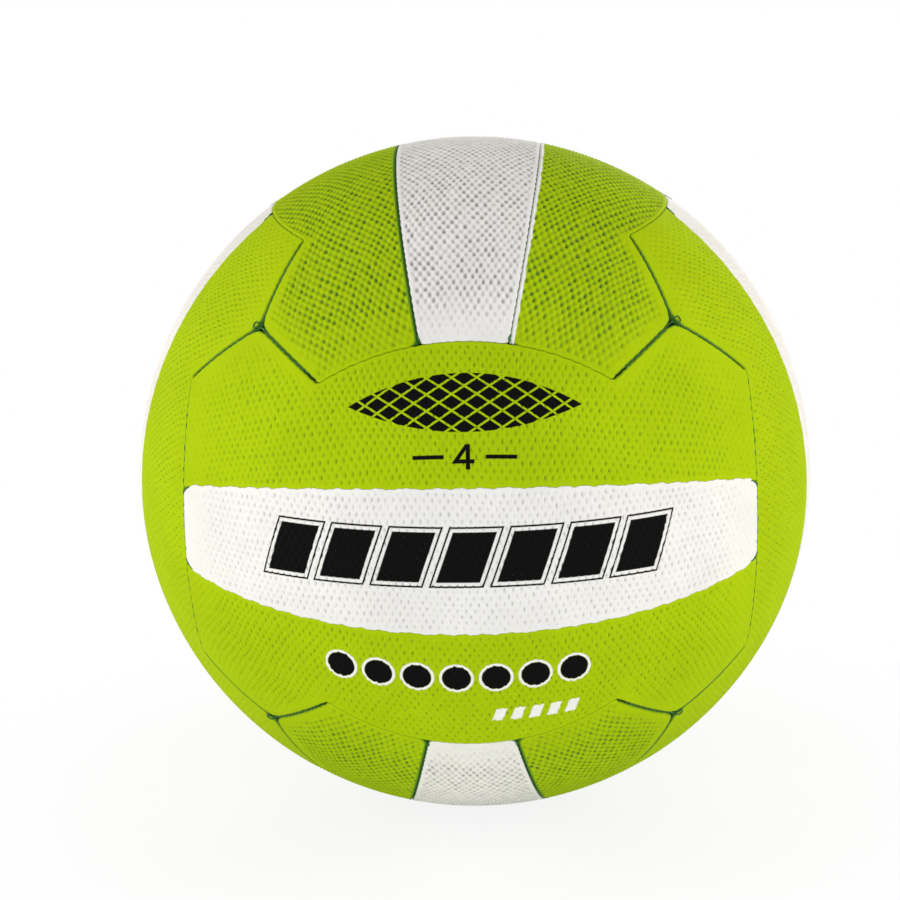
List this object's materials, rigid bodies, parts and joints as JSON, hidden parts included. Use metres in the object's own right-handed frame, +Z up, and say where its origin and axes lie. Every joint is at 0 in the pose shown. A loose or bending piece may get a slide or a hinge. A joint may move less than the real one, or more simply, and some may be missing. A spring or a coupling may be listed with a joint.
{
  "type": "netball",
  "caption": "Sewn round netball with pimpled lime green and white rubber panels in crossing strips, cloth linings, a bladder and a needle valve.",
  "frame": {"origin": "the ball's centre", "axes": "+Z up, -Y towards the front face, whose strips run along X, and +Y out through the valve"},
  "size_m": [0.2084, 0.2084, 0.2084],
  "materials": {
    "cover_green": "matt, covered with small round pimples",
    "cover_white": "matt, covered with small round pimples",
    "lining_cloth": "plain woven poly-cotton",
    "thread": "waxed polyester thread",
    "bladder_rubber": "smooth butyl",
    "valve_rubber": "smooth moulded",
    "valve_core": "smooth moulded, soft",
    "patch_cloth": "plain woven"
  },
  "bodies": {
    "root": {"panel_front_upper": "cover_green", "panel_front_middle": "cover_white", "panel_front_lower": "cover_green", "panel_right_front": "cover_green", "panel_right_middle": "cover_white", "panel_right_back": "cover_green", "panel_top_right": "cover_green", "panel_top_middle": "cover_white", "panel_top_left": "cover_green", "panel_back_upper": "cover_green", "panel_back_middle": "cover_white", "panel_back_lower": "cover_green", "panel_left_back": "cover_green", "panel_left_middle": "cover_white", "panel_left_front": "cover_green", "panel_bottom_right": "cover_green", "panel_bottom_middle": "cover_white", "panel_bottom_left": "cover_green", "lining_front_upper": "lining_cloth", "lining_front_middle": "lining_cloth", "lining_front_lower": "lining_cloth", "lining_right_front": "lining_cloth", "lining_right_middle": "lining_cloth", "lining_right_back": "lining_cloth", "lining_top_right": "lining_cloth", "lining_top_middle": "lining_cloth", "lining_top_left": "lining_cloth", "lining_back_upper": "lining_cloth", "lining_back_middle": "lining_cloth", "lining_back_lower": "lining_cloth", "lining_left_back": "lining_cloth", "lining_left_middle": "lining_cloth", "lining_left_front": "lining_cloth", "lining_bottom_right": "lining_cloth", "lining_bottom_middle": "lining_cloth", "lining_bottom_left": "lining_cloth", "thread_front": "thread", "thread_right": "thread", "thread_top": "thread", "thread_back": "thread", "thread_left": "thread", "thread_bottom": "thread", "bladder": "bladder_rubber", "valve_boot": "valve_rubber", "valve_core": "valve_core", "valve_patch": "patch_cloth"}
  },
  "joints": []
}
